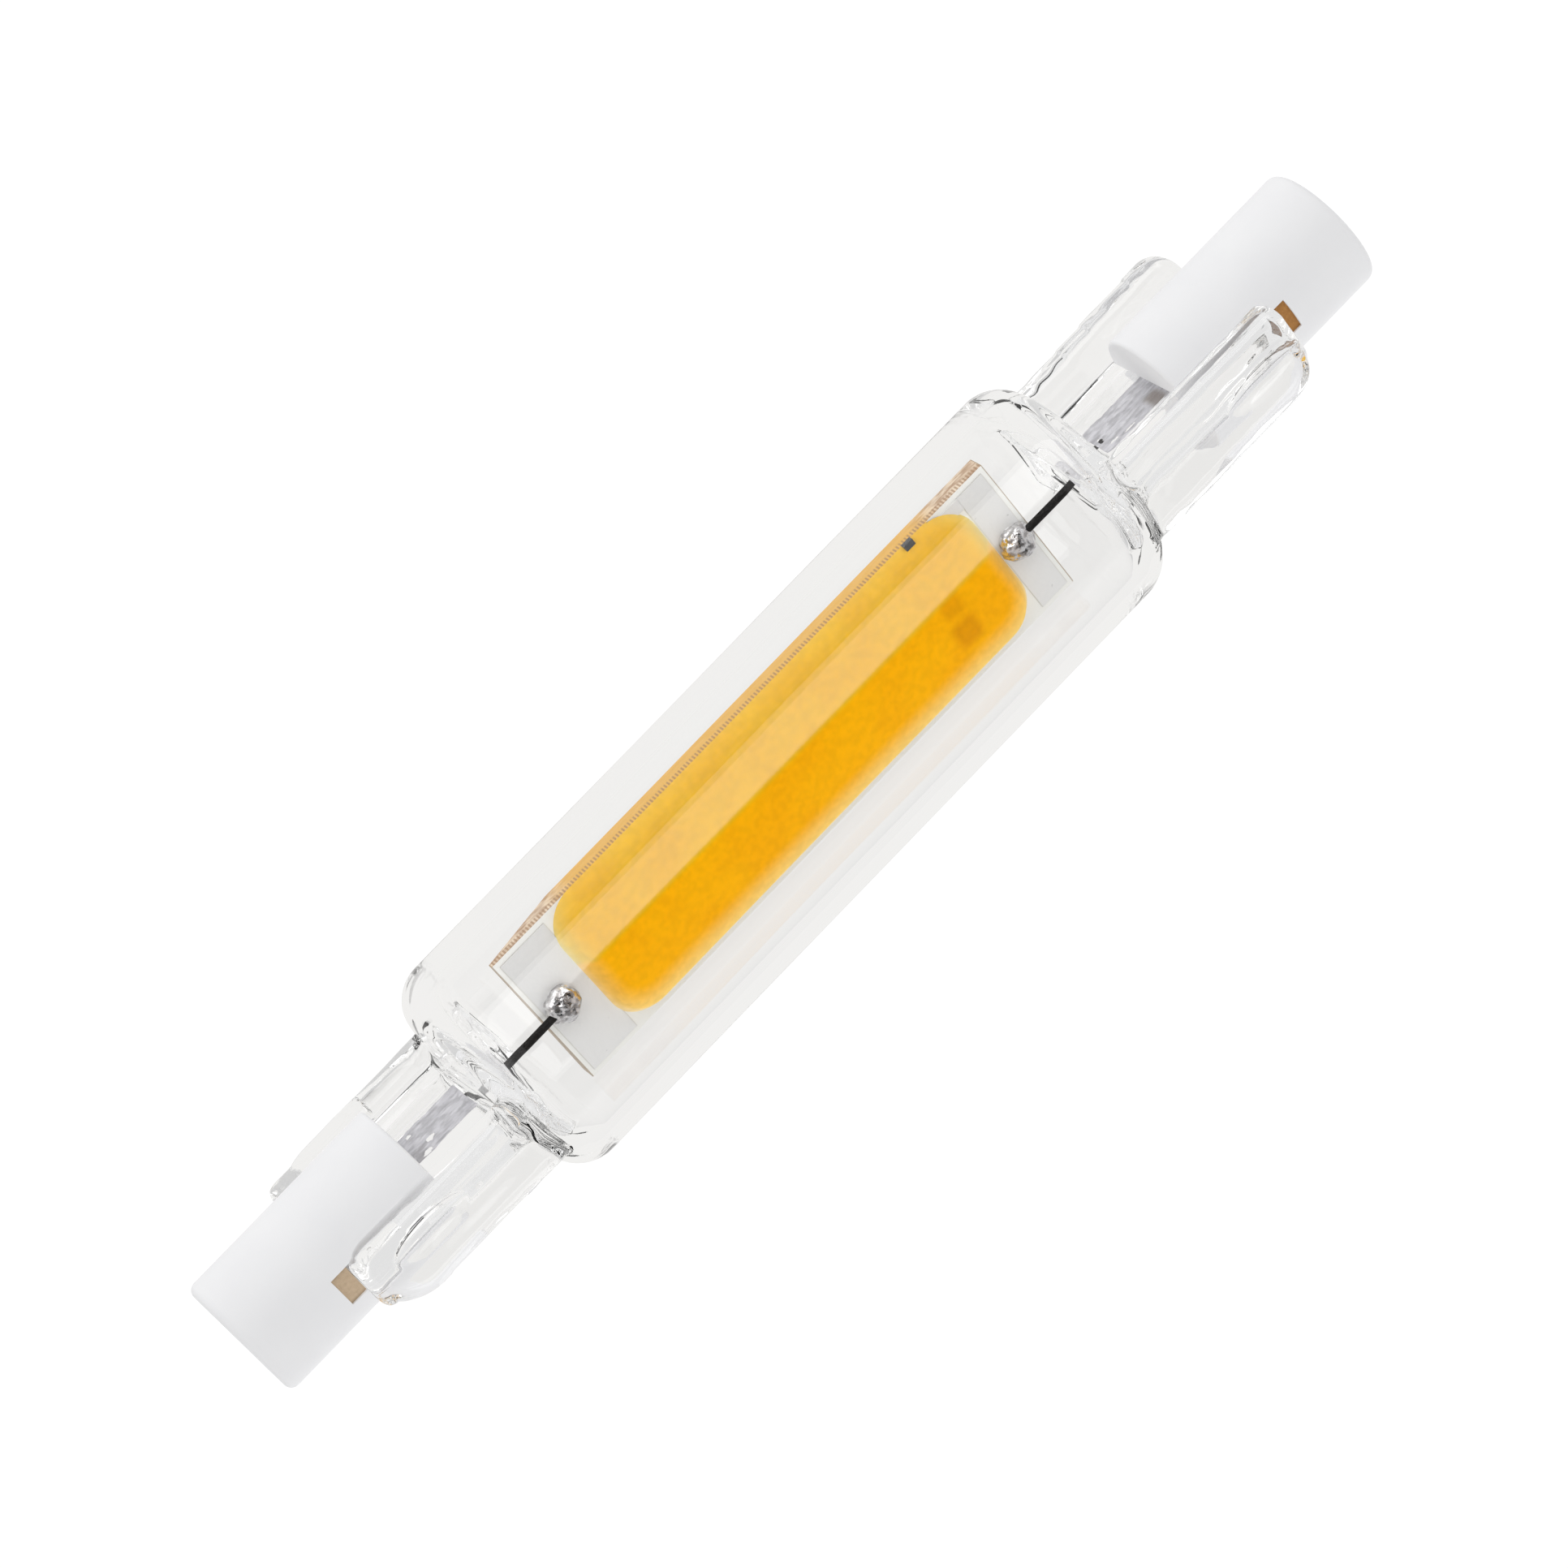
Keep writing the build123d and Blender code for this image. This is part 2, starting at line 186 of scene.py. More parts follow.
# Foils: holes eaten through, each with its centre in X and Z, half length and half width
FOIL_THICKNESS = 0.02
FOIL_HALF_WIDTH = 1.36
FOIL_CELLS = (140, 56)
FOIL_OFFSET = 0.03
FOIL_RAGGED = (0.07, 0.05)
FOIL_END_TAPER = 0.07
FOIL_TAPER_LENGTH = 0.4
# Where each foil darkens in a patch near the cap, in X and Z
FOIL_DARK_CENTRE = (26.3, 0.9)
FOIL_RIPPLE = (0.05, 0.018)
HOLE_WOBBLE = 0.3
FOIL_HOLES = {
    -1: [((-25.4, 0.45), 0.26, 0.22), ((-26.0, 1.15), 0.3, 0.2), ((-26.1, -0.9), 0.16, 0.12)],
    1: [((23.3, 0.9), 0.3, 0.08), ((24.3, 1.05), 0.4, 0.07), ((22.9, 0.1), 0.12, 0.3)],
}

# Hollows in the rails' outer faces: centre in X and Y, half length, half width and depth, and how
# steep their sides are
HOLLOW_STEEPNESS = 0.6
HOLLOWS = {-1: ((-28.7, 0.3), 2.4, 0.85, 0.6), 1: ((30.1, -0.1), 2.6, 0.75, 0.6)}

# Shallow dents in the rails' backs, along their edges: centre in X and Z, half length, half width
# and depth, on faces that look back at least this much
BACK_FACING = -0.7
BACK_DENTS = {-1: ((-26.8, 4.9), 3.2, 0.55, 0.3), 1: ((28.4, 4.8), 3.4, 0.45, 0.16)}

# A quarter of the glass's outline: how many points each stretch has, and the angles from Y between
# which it lies where the outline is round. The stretches are the web, its root, the rail's inner
# face, a corner, the rail's side, a corner and the rail's outer face.
QUARTER = [(12, 0, 50), (4, 50, 54), (3, 54, 57), (5, 57, 62), (5, 62, 67), (5, 67, 72), (11, 72, 90)]

# Light: how bright the walls of the studio and the floor look in and through the glass, between
# which directions in Y the walls change, and where the dark strip of ceiling ends in Z and in X
NEAR_WALL = 0.84
FAR_WALL = 0.87
WALL_CHANGE = (-0.75, -0.5)
CEILING_EDGE = (0.68, 0.76)
CEILING_SIDES = (0.25, 0.5)
THROUGH_GLASS = 0.92
FLOOR_GLOW = 0.85
WHITE = (1.0, 1.0, 1.0, 1.0)
BLACK = (0.0, 0.0, 0.0, 1.0)


class Graph:
    """A node tree with short ways to add a node and to link it."""

    def __init__(self, tree):
        self.tree = tree

    def add(self, kind, inputs=None, **settings):
        node = self.tree.nodes.new(kind)
        for key, value in settings.items():
            setattr(node, key, value)
        for key, value in (inputs or {}).items():
            self.feed(node.inputs[key], value)
        return node

    def feed(self, socket, value):
        if isinstance(value, bpy.types.NodeSocket):
            self.tree.links.new(value, socket)
        else:
            socket.default_value = value

    def math(self, operation, first, second=0.0):
        node = self.add("ShaderNodeMath", {0: first, 1: second}, operation=operation)
        return node.outputs[0]

    def vector(self, operation, first, second=(0.0, 0.0, 0.0)):
        node = self.add("ShaderNodeVectorMath", {0: first, 1: second}, operation=operation)
        return node.outputs["Value" if operation == "LENGTH" else "Vector"]

    def blend(self, amount, first, second, mode="MIX"):
        node = self.add("ShaderNodeMix", data_type="RGBA", blend_type=mode)
        self.feed(node.inputs["Factor"], amount)
        self.feed(node.inputs[6], first)
        self.feed(node.inputs[7], second)
        return node.outputs[2]

    def remap(self, value, low, high, to_low=0.0, to_high=1.0, smooth=True):
        node = self.add("ShaderNodeMapRange", {0: value, 1: low, 2: high, 3: to_low, 4: to_high})
        node.interpolation_type = "SMOOTHSTEP" if smooth else "LINEAR"
        return node.outputs[0]

    def bump(self, height, distance, strength=1.0):
        node = self.add("ShaderNodeBump", {"Height": height, "Distance": distance, "Strength": strength})
        return node.outputs["Normal"]

    def group(self, tree, **inputs):
        node = self.add("ShaderNodeGroup", node_tree=tree)
        for key, value in inputs.items():
            self.feed(node.inputs[key.replace("_", " ").title()], value)
        return node


def colour(red, green, blue):
    return (red, green, blue, 1.0)


def new_group(name, inputs, outputs):
    """A shader node group with its sockets, and the graph that fills it."""
    tree = bpy.data.node_groups.new(name, "ShaderNodeTree")
    for label, kind in inputs:
        tree.interface.new_socket(name=label, in_out="INPUT", socket_type=kind)
    for label, kind in outputs:
        tree.interface.new_socket(name=label, in_out="OUTPUT", socket_type=kind)
    graph = Graph(tree)
    start = graph.add("NodeGroupInput")
    end = graph.add("NodeGroupOutput")
    return tree, graph, start, end


def grain_group():
    """Fine and broad mottling, stretched along an axis where the surface is drawn or brushed."""
    tree, graph, start, end = new_group(
        "surface_grain",
        [("Position", "NodeSocketVector"), ("Stretch", "NodeSocketVector"), ("Scale", "NodeSocketFloat")],
        [("Fine", "NodeSocketFloat"), ("Broad", "NodeSocketFloat")])
    place = graph.vector("MULTIPLY", start.outputs["Position"], start.outputs["Stretch"])
    broad_scale = graph.math("MULTIPLY", start.outputs["Scale"], 0.14)
    fine = graph.add("ShaderNodeTexNoise", {"Vector": place, "Scale": start.outputs["Scale"], "Detail": 4.0})
    broad = graph.add("ShaderNodeTexNoise", {"Vector": place, "Scale": broad_scale, "Detail": 3.0})
    graph.feed(end.inputs["Fine"], fine.outputs[0])
    graph.feed(end.inputs["Broad"], broad.outputs[0])
    return tree


def patch_group():
    """A soft-edged patch: a box with round corners, or a round spot where its half size is nothing."""
    tree, graph, start, end = new_group(
        "soft_patch",
        [("Position", "NodeSocketVector"), ("Centre", "NodeSocketVector"), ("Half Size", "NodeSocketVector"),
         ("Radius", "NodeSocketFloat"), ("Softness", "NodeSocketFloat")],
        [("Mask", "NodeSocketFloat")])
    offset = graph.vector("SUBTRACT", start.outputs["Position"], start.outputs["Centre"])
    beyond = graph.vector("SUBTRACT", graph.vector("ABSOLUTE", offset), start.outputs["Half Size"])
    distance = graph.vector("LENGTH", graph.vector("MAXIMUM", beyond, (0.0, 0.0, 0.0)))
    low = graph.math("SUBTRACT", start.outputs["Radius"], start.outputs["Softness"])
    high = graph.math("ADD", start.outputs["Radius"], start.outputs["Softness"])
    graph.feed(end.inputs["Mask"], graph.remap(distance, low, high, 1.0, 0.0))
    return tree


GRAIN = grain_group()
PATCH = patch_group()


def new_material(name):
    """A material with one plain shader, its graph and the place on the piece in metres."""
    material = bpy.data.materials.new(name)
    material.use_nodes = True
    material.node_tree.nodes.clear()
    graph = Graph(material.node_tree)
    output = graph.add("ShaderNodeOutputMaterial")
    shader = graph.add("ShaderNodeBsdfPrincipled")
    graph.feed(output.inputs["Surface"], shader.outputs[0])
    place = graph.add("ShaderNodeTexCoord").outputs["Object"]
    return material, graph, shader, place


def settle(graph, shader, **values):
    for key, value in values.items():
        graph.feed(shader.inputs[key.replace("_", " ").title().replace("Ior", "IOR")], value)


def clear_glass():
    material, graph, shader, place = new_material("clear_glass")
    grain = graph.group(GRAIN, position=place, stretch=(0.25, 1.0, 1.0), scale=900.0)
    settle(graph, shader, base_color=WHITE, roughness=0.0, ior=1.46, transmission_weight=1.0,
           normal=graph.bump(grain.outputs["Broad"], 0.01 * MM))
    return material


def cap_ceramic():
    material, graph, shader, place = new_material("cap_ceramic")
    grain = graph.group(GRAIN, position=place, stretch=(1.0, 1.0, 1.0), scale=2600.0)
    tone = graph.blend(grain.outputs["Broad"], colour(0.75, 0.75, 0.765), colour(0.80, 0.80, 0.805))
    settle(graph, shader, base_color=tone, roughness=0.62, specular_ior_level=0.35,
           normal=graph.bump(grain.outputs["Fine"], 0.02 * MM, 0.5))
    return material


def glow_for_bounced_rays(graph, shader, tone):
    """Gives a tone that only straight looks see; to rays that bounced about in the pinch the piece is black
    and glows a pale grey instead, which is painted light.
    """
    path = graph.add("ShaderNodeLightPath")
    bounced = graph.math("GREATER_THAN", path.outputs["Glossy Depth"], 0.5)
    settle(graph, shader, base_color=graph.blend(bounced, tone, BLACK), emission_strength=1.0,
           emission_color=graph.blend(bounced, BLACK, colour(0.78, 0.78, 0.78)))


def cement_material(side):
    material, graph, shader, place = new_material("cement_left" if side < 0 else "cement_right")
    grain = graph.group(GRAIN, position=place, stretch=(1.0, 1.0, 1.0), scale=5000.0)
    pale = colour(0.60, 0.46, 0.32) if side < 0 else colour(0.46, 0.22, 0.06)
    dark = colour(0.42, 0.31, 0.20) if side < 0 else colour(0.28, 0.12, 0.03)
    tone = graph.blend(grain.outputs["Fine"], dark, pale)
    settle(graph, shader, roughness=0.9, normal=graph.bump(grain.outputs["Fine"], 0.1 * MM))
    glow_for_bounced_rays(graph, shader, tone)
    return material


def contact_metal():
    material, graph, shader, place = new_material("contact_metal")
    grain = graph.group(GRAIN, position=place, stretch=(1.0, 1.0, 1.0), scale=3000.0)
    tone = graph.blend(grain.outputs["Broad"], colour(0.52, 0.50, 0.46), colour(0.74, 0.72, 0.68))
    settle(graph, shader, base_color=tone, metallic=1.0,
           roughness=graph.remap(grain.outputs["Fine"], 0.3, 0.7, 0.25, 0.42))
    return material


def foil_metal(side):
    """Grey rolled metal, streaked lengthwise and darker in a patch where it meets the cap."""
    material, graph, shader, place = new_material("foil_left" if side < 0 else "foil_right")
    grain = graph.group(GRAIN, position=place, stretch=(0.16, 1.0, 1.0), scale=5200.0)
    blotch = graph.group(GRAIN, position=place, stretch=(0.5, 1.0, 1.0), scale=2600.0)
    tone = graph.blend(grain.outputs["Fine"], colour(0.36, 0.355, 0.385), colour(0.88, 0.87, 0.91))
    mottle = graph.remap(blotch.outputs["Fine"], 0.35, 0.6, 0.72, 1.0)
    tone = graph.blend(1.0, tone, mottle, mode="MULTIPLY")
    # A darker patch near the cap end: strong on the right foil, faint on the left.
    dark_x, dark_z = FOIL_DARK_CENTRE
    dark_patch = graph.group(PATCH, position=place, centre=(side * dark_x * MM, 0.0, dark_z * MM),
                         half_size=(0.15 * MM, 1.0, 0.35 * MM), radius=0.3 * MM, softness=0.25 * MM)
    darkening = graph.math("MULTIPLY", dark_patch.outputs["Mask"], 0.15 if side < 0 else 0.75)
    tone = graph.blend(darkening, tone, colour(0.17, 0.13, 0.10))
    settle(graph, shader, metallic=0.35, roughness=0.45,
           normal=graph.bump(blotch.outputs["Fine"], 0.12 * MM))
    glow_for_bounced_rays(graph, shader, tone)
    return material


def lead_wire():
    material, graph, shader, place = new_material("lead_wire")
    grain = graph.group(GRAIN, position=place, stretch=(0.3, 1.0, 1.0), scale=6000.0)
    tone = graph.blend(grain.outputs["Fine"], colour(0.003, 0.003, 0.003), colour(0.02, 0.017, 0.016))
    settle(graph, shader, roughness=0.6, specular_ior_level=0.2,
           normal=graph.bump(grain.outputs["Fine"], 0.04 * MM))
    glow_for_bounced_rays(graph, shader, tone)
    return material


def solder_metal():
    """Bright solder, crazed and wrinkled where it froze, dull grey in places."""
    material, graph, shader, place = new_material("solder")
    grain = graph.group(GRAIN, position=place, stretch=(1.0, 1.0, 1.0), scale=3800.0)
    dull = graph.remap(grain.outputs["Fine"], 0.42, 0.62)
    tone = graph.blend(dull, colour(0.80, 0.79, 0.80), colour(0.42, 0.40, 0.40))
    settle(graph, shader, base_color=tone, metallic=1.0,
           roughness=graph.remap(dull, 0.0, 1.0, 0.1, 0.3),
           normal=graph.bump(grain.outputs["Fine"], 0.06 * MM))
    return material


def pad_metal():
    material, graph, shader, place = new_material("solder_pad")
    grain = graph.group(GRAIN, position=place, stretch=(1.0, 1.0, 1.0), scale=4000.0)
    tone = graph.blend(grain.outputs["Fine"], colour(0.70, 0.695, 0.685), colour(0.765, 0.76, 0.745))
    # Painted shading: the pad is drawn lighter over its back half and darker over its front half.
    across = graph.add("ShaderNodeSeparateXYZ", {0: place}).outputs["Y"]
    level = graph.remap(across, -0.9 * MM, 0.5 * MM, 1.07, 0.98)
    tone = graph.blend(1.0, tone, level, mode="MULTIPLY")
    specks = graph.remap(grain.outputs["Fine"], 0.70, 0.76, 0.0, 0.5)
    tone = graph.blend(specks, tone, colour(0.2, 0.19, 0.18))
    settle(graph, shader, base_color=tone, roughness=0.45,
           normal=graph.bump(grain.outputs["Fine"], 0.02 * MM))
    return material


def board_ceramic():
    """White ceramic with a tan edge: it was scribed and snapped, so its top corner is notched."""
    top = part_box("ceramic_board")[1][2]
    strip_low, strip_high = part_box("phosphor_strip")
    material, graph, shader, place = new_material("board_ceramic")
    grain = graph.group(GRAIN, position=place, stretch=(1.0, 1.0, 1.0), scale=3500.0)
    face = graph.blend(grain.outputs["Broad"], colour(0.85, 0.845, 0.805), colour(0.90, 0.895, 0.86))
    parts = graph.add("ShaderNodeSeparateXYZ", {0: place})
    along = parts.outputs["X"]
    drawn = graph.vector("MULTIPLY", place, (0.4, 1.0, 1.6))
    streaks = graph.add("ShaderNodeTexNoise", {"Vector": drawn, "Scale": 2600.0, "Detail": 4.0}).outputs[0]
    streaks = graph.remap(streaks, 0.35, 0.65)
    edge = graph.blend(streaks, colour(0.42, 0.26, 0.15), colour(0.76, 0.62, 0.46))
    from_left = graph.remap(along, strip_low[0] + 0.5 * MM, strip_low[0] + 3 * MM)
    from_right = graph.remap(along, strip_high[0] - 3 * MM, strip_high[0] - 0.5 * MM, 1.0, 0.0)
    beside_strip = graph.math("MULTIPLY", from_left, from_right)
    edge = graph.blend(graph.math("MULTIPLY", beside_strip, 0.9), edge, colour(0.74, 0.40, 0.04))
    comb = graph.math("FRACT", graph.math("DIVIDE", along, NOTCH_PITCH))
    tooth = graph.math("GREATER_THAN", comb, 0.5)
    near_top = graph.remap(parts.outputs["Z"], top - NOTCH_DEPTH, top - NOTCH_DEPTH * 0.8)
    notch = graph.math("MULTIPLY", tooth, near_top)
    edge = graph.blend(graph.math("MULTIPLY", notch, 0.7), edge, colour(0.30, 0.15, 0.06))
    middle = (BOARD_FRONT + BOARD_BACK) / 2 * MM
    half_width = (BOARD_FRONT - BOARD_BACK) / 2 * MM
    from_middle = graph.math("ABSOLUTE", graph.math("SUBTRACT", parts.outputs["Y"], middle))
    on_side = graph.remap(from_middle, half_width - 0.02 * MM, half_width - 0.01 * MM, smooth=False)
    tone = graph.blend(on_side, face, edge)
    end = BOARD_HALF_LENGTH * MM
    from_centre = graph.math("ABSOLUTE", along)
    on_end = graph.remap(from_centre, end - 0.07 * MM, end - 0.05 * MM, smooth=False)
    tone = graph.blend(graph.math("MULTIPLY", on_end, 0.75), tone, colour(0.34, 0.24, 0.14))
    # Painted shadow: a thin darker line on the board round each pad, where the pad's raised edge would cast
    # shade.
    for side in (-1, 1):
        pad_middle = side * (BOARD_HALF_LENGTH - PAD_SETBACK - PAD_LENGTH[side] / 2) * MM
        outline = graph.group(PATCH, position=place, centre=(pad_middle, middle, top),
                              half_size=(PAD_LENGTH[side] / 2 * MM, half_width - PAD_SETBACK * MM, 1.0),
                              radius=0.05 * MM, softness=0.02 * MM)
        rim = graph.math("MULTIPLY", outline.outputs["Mask"], 0.5)
        tone = graph.blend(rim, tone, colour(0.52, 0.50, 0.45))
    settle(graph, shader, base_color=tone, roughness=0.6, specular_ior_level=0.3)
    return material


def phosphor_silicone():
    """Orange silicone, thinner and paler round its margin, with two chips dark under it."""
    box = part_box("phosphor_strip")
    box = ((box[0][0], STRIP_BACK * MM, 0.0), (box[1][0], STRIP_FRONT * MM, 0.0))
    material, graph, shader, place = new_material("phosphor")
    grain = graph.group(GRAIN, position=place, stretch=(1.0, 1.0, 1.0), scale=2600.0)
    centre = [(low + high) / 2 for low, high in zip(*box)]
    half = [(high - low) / 2 for low, high in zip(*box)]
    corner = 2.0 * MM

    def margin(width, softness, shift=0.0):
        return graph.group(PATCH, position=place, centre=(centre[0], centre[1] + shift, 0.0),
                           half_size=(half[0] - corner - width, half[1] - corner - width, 1.0),
                           radius=corner, softness=softness).outputs["Mask"]

    cloud = graph.remap(grain.outputs["Broad"], 0.35, 0.65)
    deep = graph.blend(cloud, colour(0.965, 0.425, 0.0), colour(0.985, 0.455, 0.0))
    rim = margin(0.15 * MM, 0.2 * MM, 0.25 * MM)
    tone = graph.blend(rim, colour(0.99, 0.73, 0.34), colour(0.99, 0.65, 0.17))
    tone = graph.blend(margin(0.4 * MM, 0.85 * MM, 0.85 * MM), tone, deep)
    for chip, reach, darkness in (("driver_chip", 0.45, 0.55), ("rectifier_chip", 0.35, 0.35)):
        low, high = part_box(chip)
        under = graph.group(PATCH, position=place,
                            centre=((low[0] + high[0]) / 2, (low[1] + high[1]) / 2, 0.0),
                            half_size=((high[0] - low[0]) / 3, (high[1] - low[1]) / 3, 1.0),
                            radius=reach * MM, softness=reach * 0.8 * MM)
        shade = graph.math("MULTIPLY", under.outputs["Mask"], darkness)
        tone = graph.blend(shade, tone, colour(0.62, 0.21, 0.0))
    speckle = graph.remap(grain.outputs["Fine"], 0.3, 0.7, 0.95, 1.05)
    tone = graph.blend(1.0, tone, speckle, mode="MULTIPLY")
    # Painted reflection: from just past the middle out to the front edge, where the far softbox is
    # reflected, the orange is shifted towards yellow, with less red and more green.
    across = graph.add("ShaderNodeSeparateXYZ", {0: place}).outputs["Y"]
    reflection_tint = graph.blend(1.0, tone, colour(0.87, 1.04, 1.0), mode="MULTIPLY")
    tone = graph.blend(graph.remap(across, 0.7 * MM, 1.05 * MM), tone, reflection_tint)
    settle(graph, shader, base_color=tone, roughness=0.5, specular_ior_level=0.05,
           normal=graph.bump(grain.outputs["Fine"], 0.03 * MM))
    return material


def chip_silicon():
    material, graph, shader, place = new_material("chip")
    grain = graph.group(GRAIN, position=place, stretch=(1.0, 1.0, 1.0), scale=5000.0)
    tone = graph.blend(grain.outputs["Fine"], colour(0.01, 0.01, 0.012), colour(0.05, 0.05, 0.055))
    settle(graph, shader, base_color=tone, roughness=0.25)
    return material


def led_chip_material():
    material, graph, shader, place = new_material("led_chip")
    grain = graph.group(GRAIN, position=place, stretch=(1.0, 1.0, 1.0), scale=5000.0)
    tone = graph.blend(grain.outputs["Fine"], colour(0.45, 0.50, 0.52), colour(0.65, 0.70, 0.72))
    settle(graph, shader, base_color=tone, roughness=0.15)
    return material


def dress(node, material):
    """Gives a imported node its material."""
    for place in frame["nodes"][node].material_slots:
        place.material = material


# Glass envelope

def arc(centre, radius, start, end, count):
    """Points on an arc in Y and Z, short of its end."""
    angles = [math.radians(start + (end - start) * step / count) for step in range(count)]
    return [(centre[0] + radius * math.cos(a), centre[1] + radius * math.sin(a)) for a in angles]


def line(start, end, count):
    """Points on a straight line in Y and Z, short of its end."""
    run, rise = end[0] - start[0], end[1] - start[1]
    return [(start[0] + run * step / count, start[1] + rise * step / count) for step in range(count)]


def pinch_quarter(rail_half, inner, outer):
    """A quarter of the pinch's outline, from the middle of the web's face to that of the rail's."""
    corner = min(RAIL_ROUND, (outer - inner) / 2.02, rail_half / 1.1)
    root = min(RAIL_ROOT, max(rail_half - corner - WEB_HALF, 0.0))
    reach = max(rail_half - corner, WEB_HALF)
    web_top = inner - root
    counts = [count for count, _, _ in QUARTER]
    points = line((WEB_HALF, 0.0), (WEB_HALF, web_top), counts[0])
    points += arc((WEB_HALF + root, web_top), root, 180, 90, counts[1])
    points += line((WEB_HALF + root, inner), (reach, inner), counts[2])
    points += arc((reach, inner + corner), corner, -90, 0, counts[3])
    points += line((reach + corner, inner + corner), (reach + corner, outer - corner), counts[4])
    points += arc((reach, outer - corner), corner, 0, 90, counts[5])
    return points + line((reach, outer), (0.0, outer), counts[6]) + [(0.0, outer)]


def round_quarter(half_y, half_z):
    """A quarter of an oval outline, with as many points as a quarter of the pinch."""
    angles = [start + (end - start) * step / count
              for count, start, end in QUARTER for step in range(count)]
    angles = [math.radians(a) for a in angles + [90]]
    return [(half_y * math.cos(a), half_z * math.sin(a)) for a in angles]


def whole(front, back=None, below=None):
    """Quarter outlines carried round: the front, the back, which is the same above and below, and
    the front below."""
    back = back or front
    below = below or front
    rise = [(-y, z) for y, z in back[:0:-1]] + [(-y, -z) for y, z in back[:-1]]
    return front[:-1] + rise + [(y, -z) for y, z in below[:0:-1]]


def round_end(x, radius):
    """How far an edge draws in at a place on a round corner at the pinch's end."""
    past = max(0.0, x - (PINCH_END - radius))
    return radius - math.sqrt(max(radius ** 2 - past ** 2, 0.0))


def pinch_outline(side, x):
    """The pinch's outline at a distance along the bulb, with the rails' rounded outer ends."""
    inset = round_end(x, RAIL_ROUND)
    near, far = [half - round_end(x, corner) - inset / 2
                 for half, corner in zip(RAIL_FRONT[side], RAIL_FRONT_CORNER[side])]
    far += sum(RAIL_STEP * smooth_share((x - start) / RAIL_STEP_LENGTH) for start in RAIL_STEPS[side])
    back = RAIL_BACK[side] - round_end(x, RAIL_BACK_CORNER[side]) - inset / 2
    return whole(*[pinch_quarter(max(half, WEB_HALF), RAIL_INNER + inset, RAIL_OUTER - inset)
                   for half in (near, back, far)])


def shoulder(side, start, round_points, end_points, convex, concave):
    """Rings that carry a round outline in to another one: round the edge, down the end wall and out."""
    both = convex + concave
    paths = []
    for (y, z), (end_y, end_z) in zip(round_points, end_points):
        drop = math.hypot(end_y - y, end_z - z)
        turn = END_WALL_SLOPE
        if drop < both * (1 - math.cos(turn)):
            turn = math.acos(1 - drop / both)
        wall = (drop - both * (1 - math.cos(turn))) / math.sin(turn)
        path = []
        for step in range(EDGE_STEPS + 1):
            angle = turn * step / EDGE_STEPS
            path.append((convex * math.sin(angle), convex * (1 - math.cos(angle))))
        foot = both * math.sin(turn) + wall * math.cos(turn)
        top_x, top_drop = path[-1]
        base_x = foot - concave * math.sin(turn)
        base_drop = drop - concave * (1 - math.cos(turn))
        for step in range(1, WALL_STEPS):
            share = step / WALL_STEPS
            path.append((top_x + (base_x - top_x) * share, top_drop + (base_drop - top_drop) * share))
        for step in range(FOOT_STEPS + 1):
            angle = turn * (1 - step / FOOT_STEPS)
            path.append((foot - concave * math.sin(angle), drop - concave * (1 - math.cos(angle))))
        shares = [(x, fall / drop if drop > 0 else 1.0) for x, fall in path]
        paths.append([(x, y + (end_y - y) * part, z + (end_z - z) * part) for x, part in shares])
    reached = start + max(path[-1][0] for path in paths) + RING_GAP
    rings = [[(side * (start + path[step][0]), path[step][1], path[step][2]) for path in paths]
             for step in range(len(paths[0]))]
    rings.append([(side * reached, y, z) for y, z in end_points])
    return rings, reached


def ring_at(x, outline):
    return [(x, y, z) for y, z in outline]


def smooth_share(value):
    value = min(max(value, 0.0), 1.0)
    return value * value * (3 - 2 * value)


def hollow(place, centre, half_length, half_width, depth):
    """How deep the leaf-shaped hollow in a rail's outer face is at a place."""
    across = math.hypot((place[0] - centre[0]) / half_length, (place[1] - centre[1]) / half_width)
    return depth * max(0.0, 1 - across ** 2) ** HOLLOW_STEEPNESS


def drift(place):
    """The slow unevenness of drawn tube."""
    x, y, z = place
    return DRIFT * noise.noise(Vector((x * 0.08, y * 0.25, z * 0.25)))


def unevenness(side, place):
    """How far the hot glass moved from its plain form at a place, outwards, in millimetres."""
    x, y, z = place
    past = abs(x) - TUBE_END
    pressed = smooth_share(past / PRESS_FADE)
    root = math.exp(-((past - SWIRL_MIDDLE) / SWIRL_SPREAD) ** 2)
    root *= smooth_share((past + SWIRL_FADE) / SWIRL_FADE)
    wave = noise.noise(Vector((x * 0.3 + 7 * side, y * 0.4, z * 0.4)))
    streak = noise.noise(Vector((x * 0.08 + 3 * side, y * 1.0, z * 1.6)))
    thread = noise.noise(Vector((x * 0.25, y * 3.5, z * 3.5 + 11 * side)))
    bump = noise.noise(Vector((x * 1.1, y * 1.1, z * 1.1 + 5 * side)))
    swirl = noise.noise(Vector((x * 0.9 + z * 0.5, y * 0.8, z * 1.1 - x * 0.4 + 5 * side)))
    moved = wave * WAVE + streak * STREAK + thread * THREAD + bump * LUMP * LUMPINESS[side]
    return pressed * moved + root * swirl * SWIRL + drift(place)


def uneven(side, ring, inside=False):
    """A ring with its points moved along the outline's normals by the glass's unevenness."""
    moved = []
    count = len(ring)
    for index, (x, y, z) in enumerate(ring):
        before = ring[index - 1]
        after = ring[(index + 1) % count]
        along = Vector((after[1] - before[1], after[2] - before[2]))
        if along.length < 1e-6:
            along = Vector((-z, y))
        normal = Vector((along.y, -along.x)).normalized()
        shift = drift((x, y, z)) if inside else unevenness(side, (x, y, z))
        if abs(z) > RAIL_INNER + RAIL_ROUND and not inside:
            shift -= hollow((x, y), *HOLLOWS[side])
        if normal.x < BACK_FACING and abs(z) > RAIL_INNER and not inside:
            shift -= hollow((x, abs(z)), *BACK_DENTS[side])
        moved.append(lean((x, y + normal.x * shift, z + normal.y * shift)))
    return moved


